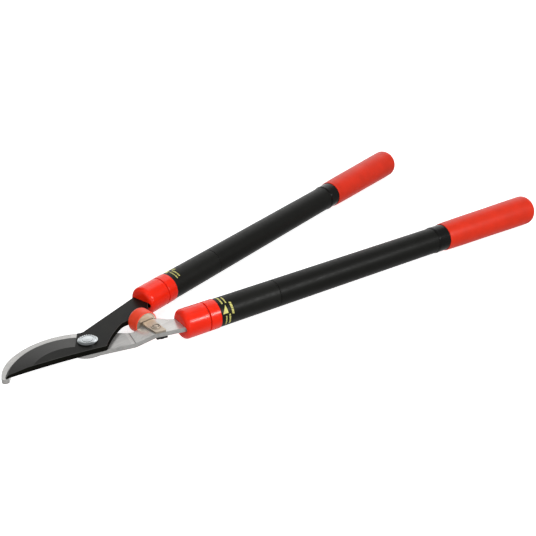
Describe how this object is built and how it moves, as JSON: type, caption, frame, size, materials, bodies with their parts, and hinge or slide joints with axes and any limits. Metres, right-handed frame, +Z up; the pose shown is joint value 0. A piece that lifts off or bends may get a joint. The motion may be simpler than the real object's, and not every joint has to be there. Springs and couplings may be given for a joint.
{
  "type": "telescoping bypass lopper",
  "caption": "Two-handed bypass lopper: a curved blade closes past a hook jaw, with tubular handles that slide out and lock by twist sleeves.",
  "frame": {"origin": "under the middle of the closed tool, on the surface that it lies on", "axes": "+X along the centre line from the jaws to the grips, +Z up, across the flat of the blades"},
  "size_m": [0.6254, 0.2438, 0.0336],
  "materials": {
    "blade_coating": "satin non-stick coating, ground bevel",
    "hook_steel": "fine blasted",
    "zinc_plate": "bright zinc",
    "bronze": "plain",
    "passivated_steel": "yellow passivated zinc",
    "bumper_rubber": "satin",
    "black_steel": "satin",
    "red_plastic": "gloss",
    "bare_aluminium": "drawn",
    "core_plastic": "moulded",
    "black_rubber": "matte",
    "barrel_plastic": "satin",
    "tube_paint": "satin powder coat",
    "black_plastic": "gloss",
    "grip_rubber": "satin"
  },
  "bodies": {
    "hook_arm": {"hook_blade": "hook_steel", "pivot_bolt": "zinc_plate", "pivot_washer": "zinc_plate", "pivot_nut": "zinc_plate", "bumper_bracket": "passivated_steel", "bumper_rubber": "bumper_rubber", "backing_plate": "black_steel", "strap_button_rivet": "passivated_steel", "foot_dome_rivet": "zinc_plate", "ferrule_hook_side": "red_plastic", "inner_tube_hook_side": "bare_aluminium", "tang_insert_hook_side": "core_plastic", "tang_pins_hook_side": "zinc_plate", "guide_bush_hook_side": "core_plastic"},
    "cutting_arm": {"cutting_blade": "blade_coating", "pivot_bush": "bronze", "ferrule_blade_side": "red_plastic", "inner_tube_blade_side": "bare_aluminium", "tang_insert_blade_side": "core_plastic", "tang_pins_blade_side": "zinc_plate", "guide_bush_blade_side": "core_plastic"},
    "handle_blade_side": {"outer_tube_blade_side": "tube_paint", "collet_blade_side": "core_plastic", "lip_ring_blade_side": "black_plastic", "grip_collar_blade_side": "black_plastic", "grip_blade_side": "grip_rubber", "tube_plug_blade_side": "black_plastic"},
    "lock_blade_side": {"lock_ring_blade_side": "red_plastic", "wiper_ring_blade_side": "black_rubber", "lock_barrel_blade_side": "barrel_plastic"},
    "handle_hook_side": {"outer_tube_hook_side": "tube_paint", "collet_hook_side": "core_plastic", "lip_ring_hook_side": "black_plastic", "grip_collar_hook_side": "black_plastic", "grip_hook_side": "grip_rubber", "tube_plug_hook_side": "black_plastic"},
    "lock_hook_side": {"lock_ring_hook_side": "red_plastic", "wiper_ring_hook_side": "black_rubber", "lock_barrel_hook_side": "barrel_plastic"}
  },
  "joints": [
    {"name": "jaw_hinge", "type": "hinge", "parent": "hook_arm", "child": "cutting_arm", "pos_m": [-0.23007, 0.0037, 0.0168], "axis": [0, 0, 1], "range_deg": [0, 50]},
    {"name": "handle_slide_blade_side", "type": "slide", "parent": "cutting_arm", "child": "handle_blade_side", "axis": [0.9864, 0.1642, 0], "range_m": [0, 0.285]},
    {"name": "handle_slide_hook_side", "type": "slide", "parent": "hook_arm", "child": "handle_hook_side", "axis": [0.9864, -0.1642, 0], "range_m": [0, 0.285]},
    {"name": "lock_twist_blade_side", "type": "hinge", "parent": "handle_blade_side", "child": "lock_blade_side", "pos_m": [-0.08478, 0.04071, 0.0168], "axis": [0.9864, 0.1642, 0], "range_deg": [0, 60]},
    {"name": "lock_twist_hook_side", "type": "hinge", "parent": "handle_hook_side", "child": "lock_hook_side", "pos_m": [-0.08478, -0.04071, 0.0168], "axis": [0.9864, -0.1642, 0], "range_deg": [0, 60]}
  ]
}
